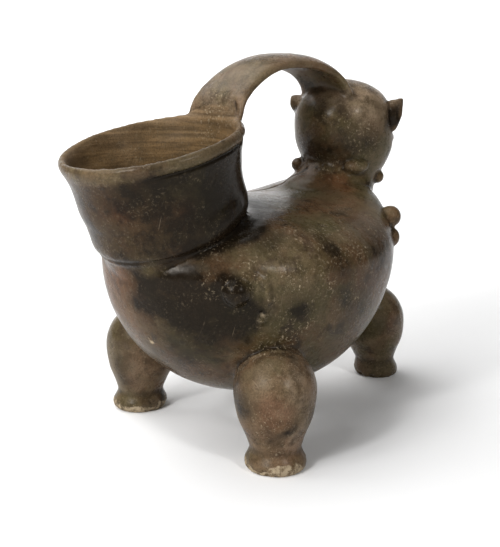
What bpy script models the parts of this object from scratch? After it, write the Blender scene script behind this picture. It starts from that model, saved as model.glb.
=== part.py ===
"""A burnished clay vessel in the form of an animal on three bulbous legs.

A round hollow body carries a wide slanted cup over the tail, a neck and head over the chest, and a strap
handle from the cup's rim to the crown. The head is turned to the animal's left. It is one fired piece, and
it is only parted at the shoulder, under the flank's knobs, so that its hollow body is open to both halves.
+Z is up, the animal faces -Y and its left is +X. The origin is on the ground, at the middle of its box.
Lengths are in metres and angles in degrees.
"""
from math import cos, exp, pi, radians, sin, sqrt

import bmesh
import bpy
from mathutils import Matrix, Vector

# Walls
BODY_WALL = 0.005
CUP_WALL = 0.0046
HEAD_WALL = 0.006

# Body, an egg that is deepest under its widest line, with a saddle in its back
BODY_HEIGHT = 0.0998
BODY_HALF_WIDTH = 0.0725
BODY_FRONT = 0.083
BODY_REAR = 0.0905
BELLY_DEPTH = 0.079
BACK_RISE = 0.0295
RUMP_RISE = 0.0040
RUMP_START = 0.012
SHOULDER_RISE = 0.073
SHOULDER_START = 0.010
SHOULDER_END = 0.075
SHOULDER_POWER = 2.3
CHEST_BULGE = 0.022
CHEST_RISE = 0.003
CHEST_SPREAD = 0.030

# Cup, from the circle of its rim to the circle where it sits on the body
RIM_RADIUS = 0.0475
RIM_Y = 0.0711
RIM_RISE = 0.0656
RIM_TILT = 13.1
CUP_DEPTH = 0.0477
SEAT_Y = 0.0585
SEAT_RISE = 0.0192
SEAT_TILT = 20.0
WAIST_RADIUS = 0.0403
ROLL_RADIUS = 0.0413
THROAT_DEPTH = 0.030

# Seam between the two halves, under the body's widest line
SEAM_DROP = 0.0130
SEAM_GAP = 0.0003

# Legs, each with a foot, a waist and a bulb that is sunk in the belly; the hind ones stand in from the flank
HIND_INSET = 0.0139
HIND_FOOT_Y = 0.0399
FRONT_STRIDE = 0.0042
HIND_FOOT_RADIUS = 0.0156
FRONT_FOOT_RADIUS = 0.0137
HIND_WAIST_RADIUS = 0.0138
FRONT_WAIST_RADIUS = 0.0128
FOOT_HEIGHT = 0.0125
BULB_RADIUS = 0.0215
BULB_DOME = 0.022
LEG_SINK = 0.0422
HIND_LEAN = 0.003
FRONT_LEAN = 0.0078

# Neck, whose collar is its narrowest ring, and head
NECK_Y = -0.0673
NECK_RISE = 0.0374
NECK_RADIUS = 0.0226
NECK_LEAN = 12.0
HEAD_Y = -0.0708
HEAD_LIFT = 0.0647
HEAD_RADIUS = 0.0287
HEAD_RISE = 0.0265
HEAD_TURN = 35.0
SKULL_RADIUS = 0.0210
SKULL_RISE = 0.0165
SKULL_DROP = 0.013
MUZZLE_REACH = 0.037
MUZZLE_RADIUS = 0.013
MUZZLE_HALF_HEIGHT = 0.0105
EYE_RADIUS = 0.0032
EYE_DROP = 0.0080
EYE_ANGLE = 22.0
EAR_THICKNESS = 0.0036
RIGHT_EAR_REACH = 0.0372
RIGHT_EAR_HALF_WIDTH = 0.0072
RIGHT_EAR_HALF_HEIGHT = 0.0098
RIGHT_EAR_RISE = 0.0065
LEFT_EAR_REACH = 0.0318
LEFT_EAR_HALF_WIDTH = 0.0052
LEFT_EAR_HALF_HEIGHT = 0.0058
LEFT_EAR_RISE = 0.0115

# Pellets round the collar; the one in a gap of the ring is lost
PELLET_HALF_WIDTH = 0.0055
PELLET_HALF_DEPTH = 0.0042
PELLET_HALF_HEIGHT = 0.0040
PELLET_COUNT = 6
PELLET_START = 17.4
LOST_PELLET = 3

# Strap handle, whose middle stands higher than its edges
STRAP_START_Y = 0.0316
STRAP_START_RISE = 0.0642
STRAP_SPAN = 0.0906
STRAP_ARCH = 0.0359
STRAP_HALF_WIDTH = 0.0180
STRAP_THICKNESS = 0.006
STRAP_CROWN = 0.0032

# Small knobs on the flanks
HAUNCH_RADIUS = 0.0064
HAUNCH_AZIMUTH = 133.0
HAUNCH_RISE = -0.0053
HAUNCH_SINK = 0.0022
SHOULDER_RADIUS = 0.0060
SHOULDER_AZIMUTH = 40.0
SHOULDER_LIFT = 0.0167
SHOULDER_SINK = -0.0015
FOREARM_RADIUS = 0.0042
FOREARM_HALF_HEIGHT = 0.0052
FOREARM_AZIMUTH = 42.0
FOREARM_LIFT = 0.0052
FOREARM_SINK = 0.0005

# Facets
BODY_SIDES = 40
BODY_RINGS = 24
INSIDE_SIDES = 30
INSIDE_RINGS = 20
CUP_SIDES = 38
LEG_SIDES = 18
HEAD_SIDES = 24
STRAP_SIDES = 16
STRAP_RINGS = 24
BALL_SIDES = 9
BALL_RINGS = 6
SKULL_SIDES = 16
SHARP_ANGLE = 35

# Heights and places that follow from the body
SEAM_HEIGHT = BODY_HEIGHT - SEAM_DROP
BLOCK_SIZE = 4 * BODY_REAR
SEAT_HEIGHT = BODY_HEIGHT + SEAT_RISE
RIM_HEIGHT = BODY_HEIGHT + RIM_RISE
NECK_HEIGHT = BODY_HEIGHT + NECK_RISE
HEAD_HEIGHT = BODY_HEIGHT + HEAD_LIFT
STRAP_START_HEIGHT = BODY_HEIGHT + STRAP_START_RISE
LEG_HEIGHT = BODY_HEIGHT - BELLY_DEPTH + LEG_SINK
CHEST_HEIGHT = LEG_HEIGHT + CHEST_RISE
BULB_HEIGHT = LEG_HEIGHT - BULB_DOME
HIND_FOOT_X = BODY_HALF_WIDTH - HIND_INSET
FRONT_FOOT_Y = -(BODY_FRONT + CHEST_BULGE + FRONT_STRIDE)

CLAY_COLOUR = (0.070, 0.052, 0.038, 1.0)
CLAY_ROUGHNESS = 0.48


def clear_scene():
    for item in list(bpy.data.objects):
        bpy.data.objects.remove(item, do_unlink=True)


def clay():
    """Dark brown-grey burnished clay."""
    material = bpy.data.materials.new("burnished_clay")
    material.use_nodes = True
    shader = material.node_tree.nodes["Principled BSDF"]
    shader.inputs["Base Color"].default_value = CLAY_COLOUR
    shader.inputs["Roughness"].default_value = CLAY_ROUGHNESS
    shader.inputs["Metallic"].default_value = 0.0
    return material


def smooth_step(value):
    value = min(max(value, 0.0), 1.0)
    return value * value * (3 - 2 * value)


def spline(points, count):
    """Evenly spread samples of a smooth curve through a few points."""
    head = [[2 * a - b for a, b in zip(points[0], points[1])]]
    tail = [[2 * a - b for a, b in zip(points[-1], points[-2])]]
    knots = head + [list(point) for point in points] + tail
    spans = len(points) - 1
    samples = []
    for index in range(count + 1):
        span = min(index * spans // count, spans - 1)
        t = index * spans / count - span
        before, start, end, after = knots[span:span + 4]
        sample = []
        for a, b, c, d in zip(before, start, end, after):
            bow = (2 * a - 5 * b + 4 * c - d) * t * t + (3 * b - a - 3 * c + d) * t ** 3
            sample.append(b + ((c - a) * t + bow) / 2)
        samples.append(sample)
    return samples


def new_object(name, mesh_maker):
    mesh = bpy.data.meshes.new(name)
    bmesh.ops.recalc_face_normals(mesh_maker, faces=mesh_maker.faces)
    mesh_maker.to_mesh(mesh)
    mesh_maker.free()
    mesh.shade_smooth()
    mesh.set_sharp_from_angle(angle=radians(SHARP_ANGLE))
    item = bpy.data.objects.new(name, mesh)
    bpy.context.scene.collection.objects.link(item)
    return item


def guide(name, mesh_maker):
    """A form that is only joined to or cut from the vessel."""
    item = new_object(name, mesh_maker)
    item.hide_render = True
    item.display_type = "WIRE"
    return item


def leaning(angle):
    """The direction of an axis that leans towards the rear by an angle."""
    return Vector((0, sin(radians(angle)), cos(radians(angle))))


def ring_matrix(station):
    """Place of a ring: its middle, the direction that it faces, and its half widths."""
    middle, facing, half_x, half_y = station[:4]
    turn = Vector((0, 0, 1)).rotation_difference(facing).to_matrix().to_4x4()
    return Matrix.Translation(middle) @ turn @ Matrix.Diagonal((half_x, half_y, 1.0, 1.0))


def bend(ring, amount):
    """Raises the middle of a ring over its edges."""
    for vert in ring:
        vert.co.y += amount * (1 - vert.co.x ** 2)


def loft(stations, sides, squareness=1.0):
    """A closed skin through rings. A squareness under 1 flattens the rings; a fifth value bends one."""
    maker = bmesh.new()
    ring = bmesh.ops.create_circle(maker, cap_ends=False, segments=sides, radius=1.0)["verts"]
    for vert in ring:
        vert.co.x = abs(vert.co.x) ** squareness * (1 if vert.co.x > 0 else -1)
        vert.co.y = abs(vert.co.y) ** squareness * (1 if vert.co.y > 0 else -1)
    edges = list(maker.edges)
    place = Matrix.Identity(4)
    bent = 0.0
    for index, station in enumerate(stations):
        if index:
            grown = bmesh.ops.extrude_edge_only(maker, edges=edges)["geom"]
            ring = [part for part in grown if isinstance(part, bmesh.types.BMVert)]
            edges = [part for part in grown if isinstance(part, bmesh.types.BMEdge)]
        bmesh.ops.transform(maker, matrix=place.inverted(), verts=ring)
        crown = station[4] / station[3] if len(station) > 4 else 0.0
        bend(ring, crown - bent)
        bent = crown
        place = ring_matrix(station)
        bmesh.ops.transform(maker, matrix=place, verts=ring)
        if index in (0, len(stations) - 1):
            bmesh.ops.contextual_create(maker, geom=edges)
    return maker


def ball(middle, half_sizes, turn=0.0, sides=BALL_SIDES, rings=BALL_RINGS):
    """An egg, turned about the vertical."""
    maker = bmesh.new()
    place = Matrix.Translation(middle) @ Matrix.Rotation(radians(turn), 4, "Z")
    shape = Matrix.Diagonal((*half_sizes, 1.0))
    bmesh.ops.create_uvsphere(maker, u_segments=sides, v_segments=rings, radius=1.0, matrix=place @ shape)
    return maker


def back_rise(y):
    """How far the top of the body stands over its widest line."""
    forward = min(max((-y - SHOULDER_START) / (SHOULDER_END - SHOULDER_START), 0.0), 1.0)
    shoulder = (SHOULDER_RISE - BACK_RISE) * forward ** SHOULDER_POWER
    return BACK_RISE + shoulder + RUMP_RISE * smooth_step((y - RUMP_START) / (SEAT_Y - RUMP_START))


def body_point(unit, inset):
    """A point of the unit ball, taken to the body's surface or to a surface inside it."""
    length = BODY_FRONT if unit.y < 0 else BODY_REAR
    y = unit.y * (length - inset)
    rise = back_rise(y) if unit.z > 0 else BELLY_DEPTH
    x = unit.x * (BODY_HALF_WIDTH - inset)
    z = BODY_HEIGHT + unit.z * (rise - inset)
    if unit.y < 0:
        spread = (x * x + (z - CHEST_HEIGHT) ** 2) / CHEST_SPREAD ** 2
        y -= CHEST_BULGE * sin(-unit.y * pi / 2) ** 4 * exp(-spread)
    return Vector((x, y, z))


def body_form(inset, sides, rings):
    maker = bmesh.new()
    turn = Matrix.Rotation(radians(90), 4, "X")
    bmesh.ops.create_uvsphere(maker, u_segments=sides, v_segments=rings, radius=1.0, matrix=turn)
    for vert in maker.verts:
        vert.co = body_point(vert.co.normalized(), inset)
    return maker


def body_place(azimuth, rise, sink):
    """A place on the body's flank: azimuth is from its nose towards its left, sunk along the radius."""
    level = rise / (BELLY_DEPTH if rise < 0 else SHOULDER_RISE * 0.8)
    ring = sqrt(max(1 - level * level, 0.0))
    unit = Vector((sin(radians(azimuth)) * ring, -cos(radians(azimuth)) * ring, level)).normalized()
    return body_point(unit, sink)


def cup_station(depth, radius):
    """A ring of the cup, at a depth below the rim along the line from the rim to the seat."""
    share = depth / CUP_DEPTH
    middle = Vector((0, RIM_Y, RIM_HEIGHT)).lerp(Vector((0, SEAT_Y, SEAT_HEIGHT)), share)
    tilt = RIM_TILT + (SEAT_TILT - RIM_TILT) * min(max(share, 0.0), 1.0)
    return middle, leaning(tilt), radius, radius


def cup_outside():
    """Radii from the rounded lip, over the hollow flank, to the roll that overhangs the body.

    Each mark is a share of the cup's depth, a radius to start from, and shares of the wall added to it.
    """
    marks = [(0.0, RIM_RADIUS, -0.52), (0.025, RIM_RADIUS, -0.15), (0.063, RIM_RADIUS, 0.0),
             (0.115, RIM_RADIUS, -0.13), (0.178, RIM_RADIUS, -0.43), (0.314, WAIST_RADIUS, 0.65),
             (0.493, WAIST_RADIUS, 0.17), (0.650, WAIST_RADIUS, 0.0), (0.765, ROLL_RADIUS, -0.09),
             (0.860, ROLL_RADIUS, 0.0), (0.933, ROLL_RADIUS, -0.09), (0.977, ROLL_RADIUS, -0.26),
             (1.010, ROLL_RADIUS, -0.43), (1.036, ROLL_RADIUS, -0.70), (1.300, ROLL_RADIUS, -1.13)]
    return [cup_station(CUP_DEPTH * share, radius + CUP_WALL * walls) for share, radius, walls in marks]


def cup_bore():
    """The hollow of the cup, which flares over the lip and runs down into the body."""
    inner = RIM_RADIUS - CUP_WALL
    waist = WAIST_RADIUS - CUP_WALL
    marks = [(-0.008, inner, 0.43), (0.0, inner, 0.35), (0.029, inner, 0.09), (0.073, inner, -0.09),
             (0.178, inner, -0.39), (0.314, waist, 0.61), (0.493, waist, 0.17), (0.650, waist, 0.0),
             (1.0, waist, -0.48)]
    stations = [cup_station(CUP_DEPTH * share, radius + CUP_WALL * walls) for share, radius, walls in marks]
    return stations + [cup_station(CUP_DEPTH + THROAT_DEPTH, waist - 1.52 * CUP_WALL)]


def leg_stations(foot, foot_radius, waist_radius, lean):
    """A leg from its sole up; its bulb leans in by a small way."""
    swell = BULB_RADIUS - waist_radius
    marks = [(0.0, 0.92 * foot_radius), (0.13 * FOOT_HEIGHT, 0.987 * foot_radius),
             (0.36 * FOOT_HEIGHT, 0.98 * foot_radius), (0.7 * FOOT_HEIGHT, 1.015 * waist_radius),
             (FOOT_HEIGHT, waist_radius),
             (0.45 * BULB_HEIGHT, waist_radius + 0.26 * swell),
             (0.68 * BULB_HEIGHT, waist_radius + 0.76 * swell), (BULB_HEIGHT, BULB_RADIUS)]
    for angle in (24, 44, 62, 78):
        marks.append((BULB_HEIGHT + BULB_DOME * sin(radians(angle)), BULB_RADIUS * cos(radians(angle))))
    sole = Vector((foot[0], foot[1], 0))
    inward = sole.normalized() * (-lean / BULB_HEIGHT)
    return [(sole + Vector((0, 0, height)) + inward * height, Vector((0, 0, 1)), radius, radius)
            for height, radius in marks]


def neck_rings():
    """Rings inside the body up to the collar.

    Each mark says, in neck radii, how far behind and above the collar it is and how wide; then its lean.
    """
    marks = [(0.93, -1.48, 1.195, 34.0), (0.487, -0.774, 1.204, 28.0), (0.142, -0.283, 1.062, 18.0),
             (0.0, 0.0, 1.0, NECK_LEAN)]
    collar = Vector((0, NECK_Y, NECK_HEIGHT))
    return [(collar + Vector((0, behind, above)) * NECK_RADIUS, leaning(-lean), NECK_RADIUS * width)
            for behind, above, width, lean in marks]


def neck_stations(inset):
    return [(middle, facing, radius - inset, radius - inset) for middle, facing, radius in neck_rings()]


def head_stations():
    """The neck, and then the head by shares of its rise and its radius."""
    stations = neck_stations(0.0)
    shares = [(-0.86, 0.84, 10.0), (-0.62, 0.92, 7.0), (-0.33, 0.98, 3.0), (0.0, 1.0, 0.0),
              (0.26, 0.985, 0.0), (0.50, 0.91, 0.0), (0.72, 0.745, 0.0), (0.88, 0.50, 0.0),
              (0.97, 0.24, 0.0), (1.0, 0.06, 0.0)]
    for rise, radius, lean in shares:
        middle = Vector((0, HEAD_Y, HEAD_HEIGHT + HEAD_RISE * rise))
        stations.append((middle, leaning(-lean), HEAD_RADIUS * radius, HEAD_RADIUS * radius))
    return stations


def head_place(right, forward, up):
    """A place on the turned head, measured from its middle along its own right, front and top."""
    turn = radians(HEAD_TURN)
    to_front = Vector((sin(turn), -cos(turn), 0))
    to_right = Vector((-cos(turn), -sin(turn), 0))
    return Vector((0, HEAD_Y, HEAD_HEIGHT)) + to_right * right + to_front * forward + Vector((0, 0, up))


def face_forms():
    muzzle = head_place(0, MUZZLE_REACH - MUZZLE_RADIUS, -EYE_DROP)
    size = (MUZZLE_RADIUS, MUZZLE_RADIUS, MUZZLE_HALF_HEIGHT)
    forms = [guide("muzzle", ball(muzzle, size, HEAD_TURN))]
    ears = (("right_ear", 1, RIGHT_EAR_REACH, RIGHT_EAR_HALF_WIDTH, RIGHT_EAR_HALF_HEIGHT, RIGHT_EAR_RISE),
            ("left_ear", -1, LEFT_EAR_REACH, LEFT_EAR_HALF_WIDTH, LEFT_EAR_HALF_HEIGHT, LEFT_EAR_RISE))
    for name, side, reach, half_width, half_height, rise in ears:
        middle = head_place(side * (reach - half_width), 0.0, rise)
        forms.append(guide(name, ball(middle, (half_width, EAR_THICKNESS, half_height), HEAD_TURN)))
    for name, side in (("right_eye", 1), ("left_eye", -1)):
        out = HEAD_RADIUS - EYE_RADIUS * 0.5
        aside = side * out * cos(radians(EYE_ANGLE))
        middle = head_place(aside, out * sin(radians(EYE_ANGLE)), -EYE_DROP)
        forms.append(guide(name, ball(middle, (EYE_RADIUS,) * 3)))
    return forms


def collar_pellets():
    size = (PELLET_HALF_WIDTH, PELLET_HALF_DEPTH, PELLET_HALF_HEIGHT)
    forms = []
    for index in range(PELLET_COUNT):
        if index == LOST_PELLET:
            continue
        azimuth = PELLET_START + index * 360 / PELLET_COUNT
        out = Vector((sin(radians(azimuth)), -cos(radians(azimuth)), 0)) * NECK_RADIUS
        out.z = out.y * sin(radians(NECK_LEAN))
        middle = Vector((0, NECK_Y, NECK_HEIGHT)) + out
        forms.append(guide("collar_pellet_%d" % index, ball(middle, size, azimuth)))
    return forms


def strap_stations():
    """The strap's edges rise from the rim's front, arch over the back and land on the crown.

    Each mark is a share of the span, a share of the arch's rise, then shares of the strap's half width, of
    its thickness and of its middle's rise. Low in the cup's wall the strap is thin and bent round the cup.
    """
    marks = [(0.000, 0.000, 1.067, 0.40, -1.31), (0.007, 0.167, 1.122, 0.60, -1.31),
             (0.031, 0.312, 1.178, 0.85, -1.06), (0.055, 0.468, 1.144, 1.00, -0.62),
             (0.104, 0.618, 1.089, 1.00, -0.12), (0.175, 0.749, 1.044, 1.00, 0.37),
             (0.260, 0.869, 1.017, 1.00, 0.69), (0.349, 0.950, 1.000, 1.00, 0.88),
             (0.437, 0.989, 1.000, 1.00, 1.00), (0.547, 1.000, 1.000, 1.00, 1.00),
             (0.680, 0.981, 1.000, 1.00, 1.00), (0.801, 0.900, 1.000, 1.00, 1.00),
             (0.890, 0.786, 1.022, 1.00, 0.81), (0.950, 0.635, 1.056, 1.00, 0.56),
             (0.983, 0.446, 1.089, 1.00, 0.25), (1.000, 0.237, 1.028, 1.00, 0.00)]
    samples = spline(marks, STRAP_RINGS)
    stations = []
    for index, (along, up, width, thickness, crown) in enumerate(samples):
        before = samples[max(index - 1, 0)]
        after = samples[min(index + 1, STRAP_RINGS)]
        facing = Vector((0, (before[0] - after[0]) * STRAP_SPAN, (after[1] - before[1]) * STRAP_ARCH))
        middle = Vector((0, STRAP_START_Y - along * STRAP_SPAN, STRAP_START_HEIGHT + up * STRAP_ARCH))
        stations.append((middle, facing.normalized(), width * STRAP_HALF_WIDTH,
                         thickness * STRAP_THICKNESS / 2, crown * STRAP_CROWN))
    return stations


def flank_knobs():
    forms = []
    knobs = (("haunch", HAUNCH_AZIMUTH, HAUNCH_RISE, HAUNCH_SINK, HAUNCH_RADIUS, HAUNCH_RADIUS),
             ("shoulder", SHOULDER_AZIMUTH, SHOULDER_LIFT, SHOULDER_SINK, SHOULDER_RADIUS, SHOULDER_RADIUS),
             ("forearm", FOREARM_AZIMUTH, FOREARM_LIFT, FOREARM_SINK, FOREARM_RADIUS, FOREARM_HALF_HEIGHT))
    for name, azimuth, rise, sink, radius, half_height in knobs:
        for side_name, side in (("right", -1), ("left", 1)):
            middle = body_place(side * azimuth, rise, sink)
            forms.append(guide(side_name + "_" + name, ball(middle, (radius, radius, half_height))))
    return forms


def front_leg_stations():
    return leg_stations((0.0, FRONT_FOOT_Y), FRONT_FOOT_RADIUS, FRONT_WAIST_RADIUS, FRONT_LEAN)


def legs():
    forms = [guide("front_leg", loft(front_leg_stations(), LEG_SIDES))]
    for name, x in (("right_hind_leg", -HIND_FOOT_X), ("left_hind_leg", HIND_FOOT_X)):
        stations = leg_stations((x, HIND_FOOT_Y), HIND_FOOT_RADIUS, HIND_WAIST_RADIUS, HIND_LEAN)
        forms.append(guide(name, loft(stations, LEG_SIDES)))
    return forms


def middle_of_length():
    """Halfway between the lip's far edge and the front edge of the front leg."""
    rear = max(middle.y + radius * facing.z for middle, facing, radius, _ in cup_outside())
    front = min(middle.y - radius for middle, _, radius, _ in front_leg_stations())
    return (rear + front) / 2


def union(target, other):
    step = target.modifiers.new("join " + other.name, "BOOLEAN")
    step.operation = "UNION"
    step.object = other


def cut(target, other):
    step = target.modifiers.new("cut " + other.name, "BOOLEAN")
    step.operation = "DIFFERENCE"
    step.object = other


def hollow():
    """The body's inside, with the cup's bore, the neck's and the head's opening into it."""
    inside = guide("inside", body_form(BODY_WALL, INSIDE_SIDES, INSIDE_RINGS))
    union(inside, guide("bore", loft(cup_bore(), CUP_SIDES)))
    union(inside, guide("neck_bore", loft(neck_stations(HEAD_WALL), HEAD_SIDES)))
    size = (SKULL_RADIUS, SKULL_RADIUS, SKULL_RISE)
    union(inside, guide("skull", ball(head_place(0, 0, -SKULL_DROP), size, HEAD_TURN, SKULL_SIDES)))
    return inside


def whole_vessel(material):
    vessel = guide("vessel", body_form(0.0, BODY_SIDES, BODY_RINGS))
    vessel.data.materials.append(material)
    union(vessel, guide("cup", loft(cup_outside(), CUP_SIDES)))
    union(vessel, guide("head", loft(head_stations(), HEAD_SIDES)))
    for form in legs() + face_forms() + collar_pellets() + flank_knobs():
        union(vessel, form)
    cut(vessel, hollow())
    union(vessel, guide("strap", loft(strap_stations(), STRAP_SIDES, 0.6)))
    return vessel


def half(name, side, vessel, material):
    """The vessel's half over the seam, or the one under it, with half of the gap left at the seam."""
    block = bmesh.new()
    middle = SEAM_HEIGHT + side * (BLOCK_SIZE + SEAM_GAP) / 2
    bmesh.ops.create_cube(block, size=BLOCK_SIZE, matrix=Matrix.Translation((0, 0, middle)))
    item = new_object(name, block)
    item.data.materials.append(material)
    step = item.modifiers.new("keep this half", "BOOLEAN")
    step.operation = "INTERSECT"
    step.object = vessel
    return item


def build_vessel():
    material = clay()
    vessel = whole_vessel(material)
    half("upper_vessel", 1, vessel, material)
    half("lower_vessel", -1, vessel, material)
    for item in bpy.context.scene.objects:
        item.location.y -= MIDDLE_Y


MIDDLE_Y = middle_of_length()
clear_scene()
build_vessel()
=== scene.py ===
"""Looks of a burnished clay vessel in the form of an animal on three bulbous legs.

The vessel is one skin, outside and inside. It is joined from the forms that its potter joined, its seams
are smoothed like wet clay, and it is then dented, scored, chipped and painted by place. Lengths are in metres
unless they are said to be in millimetres.
"""

from math import cos, exp, pi, radians, sin

import bmesh
import bpy
import numpy as np
from mathutils import Matrix, Vector


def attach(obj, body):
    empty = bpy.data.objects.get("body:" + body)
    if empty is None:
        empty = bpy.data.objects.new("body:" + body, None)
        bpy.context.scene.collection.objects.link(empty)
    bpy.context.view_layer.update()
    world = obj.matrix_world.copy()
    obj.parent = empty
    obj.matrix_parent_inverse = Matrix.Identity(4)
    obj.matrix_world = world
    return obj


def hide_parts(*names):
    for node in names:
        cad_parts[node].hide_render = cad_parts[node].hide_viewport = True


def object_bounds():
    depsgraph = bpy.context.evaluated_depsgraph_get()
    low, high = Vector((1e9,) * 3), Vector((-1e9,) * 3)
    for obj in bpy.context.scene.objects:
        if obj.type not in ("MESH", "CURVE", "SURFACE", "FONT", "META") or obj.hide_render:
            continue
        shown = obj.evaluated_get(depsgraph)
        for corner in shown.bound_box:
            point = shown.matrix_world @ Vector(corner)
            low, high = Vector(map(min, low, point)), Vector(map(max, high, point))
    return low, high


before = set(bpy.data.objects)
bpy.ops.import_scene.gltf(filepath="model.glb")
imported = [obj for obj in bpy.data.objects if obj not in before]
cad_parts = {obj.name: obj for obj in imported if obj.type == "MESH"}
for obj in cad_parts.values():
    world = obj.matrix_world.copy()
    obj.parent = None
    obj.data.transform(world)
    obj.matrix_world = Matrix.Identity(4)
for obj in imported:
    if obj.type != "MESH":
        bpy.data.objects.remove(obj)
cad_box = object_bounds()

# Walls
BODY_WALL = 0.005
CUP_WALL = 0.0046
HEAD_WALL = 0.006

# Body
BODY_HEIGHT = 0.0998
BODY_HALF_WIDTH = 0.0725
BODY_FRONT = 0.083
BODY_REAR = 0.0905
BELLY_DEPTH = 0.079
BACK_RISE = 0.0295
RUMP_RISE = 0.0040
RUMP_START = 0.012
SHOULDER_RISE = 0.073
SHOULDER_START = 0.010
SHOULDER_END = 0.075
SHOULDER_POWER = 2.3
CHEST_BULGE = 0.022
CHEST_HEIGHT = 0.066
CHEST_SPREAD = 0.030

# Cup
RIM_RADIUS = 0.0475
RIM_Y = 0.0711
RIM_HEIGHT = 0.1654
RIM_TILT = 13.1
CUP_DEPTH = 0.0477
SEAT_Y = 0.0585
SEAT_HEIGHT = 0.1190
SEAT_TILT = 20.0
WAIST_RADIUS = 0.0403
ROLL_RADIUS = 0.0413
THROAT_DEPTH = 0.030

# Legs
HIND_FOOT_X = 0.0586
HIND_FOOT_Y = 0.0399
FRONT_FOOT_Y = -0.1092
HIND_FOOT_RADIUS = 0.0156
FRONT_FOOT_RADIUS = 0.0137
HIND_WAIST_RADIUS = 0.0138
FRONT_WAIST_RADIUS = 0.0128
FOOT_HEIGHT = 0.0125
BULB_RADIUS = 0.0215
BULB_HEIGHT = 0.041
BULB_DOME = 0.022
HIND_LEAN = 0.003
FRONT_LEAN = 0.0078

# Neck and head
NECK_Y = -0.0673
NECK_HEIGHT = 0.1372
NECK_RADIUS = 0.0226
NECK_LEAN = 12.0
HEAD_Y = -0.0708
HEAD_HEIGHT = 0.1645
HEAD_RADIUS = 0.0287
HEAD_RISE = 0.0265
HEAD_TURN = 35.0
SKULL_RADIUS = 0.0210
SKULL_RISE = 0.0165
SKULL_DROP = 0.013
MUZZLE_REACH = 0.037
MUZZLE_RADIUS = 0.013
MUZZLE_HALF_HEIGHT = 0.0105
EYE_RADIUS = 0.0032
EYE_DROP = 0.0080
EYE_ANGLE = 22.0
EAR_THICKNESS = 0.0036

# Ears: reach from the head's axis, half width, half height, rise over the eyes' line, and length of the tip
RIGHT_EAR = (0.0352, 0.0056, 0.0098, 0.0065, 0.0016)
LEFT_EAR = (0.0318, 0.0052, 0.0058, 0.0115, 0.0006)
LONG_TIP = 0.003

# Collar pellets, of which one is lost and one at the near side is longer and set higher
PELLET_SIZE = (0.0055, 0.0042, 0.0040)
PELLET_COUNT = 6
PELLET_START = 17.4
PELLET_STAND = 0.0008
LOST_PELLET = 3
NEAR_PELLET = 4
NEAR_PELLET_SIZE = (0.0074, 0.0050, 0.0037)
NEAR_PELLET_TURN = -8
NEAR_PELLET_LIFT = 0.0036

# Haunch, shoulder and forearm knobs: azimuth, rise over the widest line, sink, radius and half height
FLANK_KNOBS = ((133.0, -0.0053, 0.0036, 0.0082, 0.0076), (40.0, 0.0167, -0.0015, 0.0060, 0.0060),
               (42.0, 0.0052, 0.0005, 0.0042, 0.0052))

# Strap
STRAP_HALF_WIDTH = 0.0180
STRAP_THICKNESS = 0.006
STRAP_CROWN = 0.0032
STRAP_SQUARENESS = 0.6

# How far the model's own middle lies behind the point that its forms are measured from
MIDDLE_Y = -0.0034097

# Sides and rings of the forms
BODY_SIDES = 144
BODY_RINGS = 88
INSIDE_SIDES = 72
INSIDE_RINGS = 44
CUP_SIDES = 112
CUP_RINGS = 70
BORE_RINGS = 54
LEG_SIDES = 60
LEG_RINGS = 55
HEAD_SIDES = 84
HEAD_RINGS = 65
NECK_SIDES = 60
NECK_RINGS = 24
STRAP_SIDES = 48
STRAP_RINGS = 100
BALL_SIDES = 28
BALL_RINGS = 18

# Fineness of the skin
CLAY_GRID = 0.00095
SKIN_TRIANGLES = 188000
HIDDEN_TRIANGLES = 9000
SLIVER = 0.00001
EDGE_ROOM = 0.00002


def ramp(values, low, high):
    """0 at one value, 1 at another and smooth between them."""
    share = np.clip((values - low) / (high - low), 0, 1)
    return share * share * (3 - 2 * share)


def spline(points, count):
    """Evenly spread samples of a smooth curve through a few points."""
    head = [[2 * a - b for a, b in zip(points[0], points[1])]]
    tail = [[2 * a - b for a, b in zip(points[-1], points[-2])]]
    knots = head + [list(point) for point in points] + tail
    spans = len(points) - 1
    samples = []
    for index in range(count + 1):
        span = min(index * spans // count, spans - 1)
        t = index * spans / count - span
        sample = []
        for a, b, c, d in zip(*knots[span:span + 4]):
            bow = (2 * a - 5 * b + 4 * c - d) * t * t + (3 * b - a - 3 * c + d) * t ** 3
            sample.append(b + ((c - a) * t + bow) / 2)
        samples.append(sample)
    return samples


def leaning(angle):
    return Vector((0, sin(radians(angle)), cos(radians(angle))))


def loft(stations, sides, squareness=1.0):
    """A closed skin through rings.

    Each ring has its middle, its facing, its half widths and, if it is bent, the rise of its middle.
    """
    maker = bmesh.new()
    ring = bmesh.ops.create_circle(maker, cap_ends=False, segments=sides, radius=1.0)["verts"]
    for vert in ring:
        vert.co.x = abs(vert.co.x) ** squareness * (1 if vert.co.x > 0 else -1)
        vert.co.y = abs(vert.co.y) ** squareness * (1 if vert.co.y > 0 else -1)
    edges = list(maker.edges)
    place = Matrix.Identity(4)
    bent = 0.0
    for index, station in enumerate(stations):
        if index:
            grown = bmesh.ops.extrude_edge_only(maker, edges=edges)["geom"]
            ring = [part for part in grown if isinstance(part, bmesh.types.BMVert)]
            edges = [part for part in grown if isinstance(part, bmesh.types.BMEdge)]
        bmesh.ops.transform(maker, matrix=place.inverted(), verts=ring)
        middle, facing, half_x, half_y = station[:4]
        crown = station[4] / half_y if len(station) > 4 else 0.0
        for vert in ring:
            vert.co.y += (crown - bent) * (1 - vert.co.x ** 2)
        bent = crown
        turn = Vector((0, 0, 1)).rotation_difference(facing).to_matrix().to_4x4()
        place = Matrix.Translation(middle) @ turn @ Matrix.Diagonal((half_x, half_y, 1.0, 1.0))
        bmesh.ops.transform(maker, matrix=place, verts=ring)
        if index in (0, len(stations) - 1):
            bmesh.ops.contextual_create(maker, geom=edges)
    return maker


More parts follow.
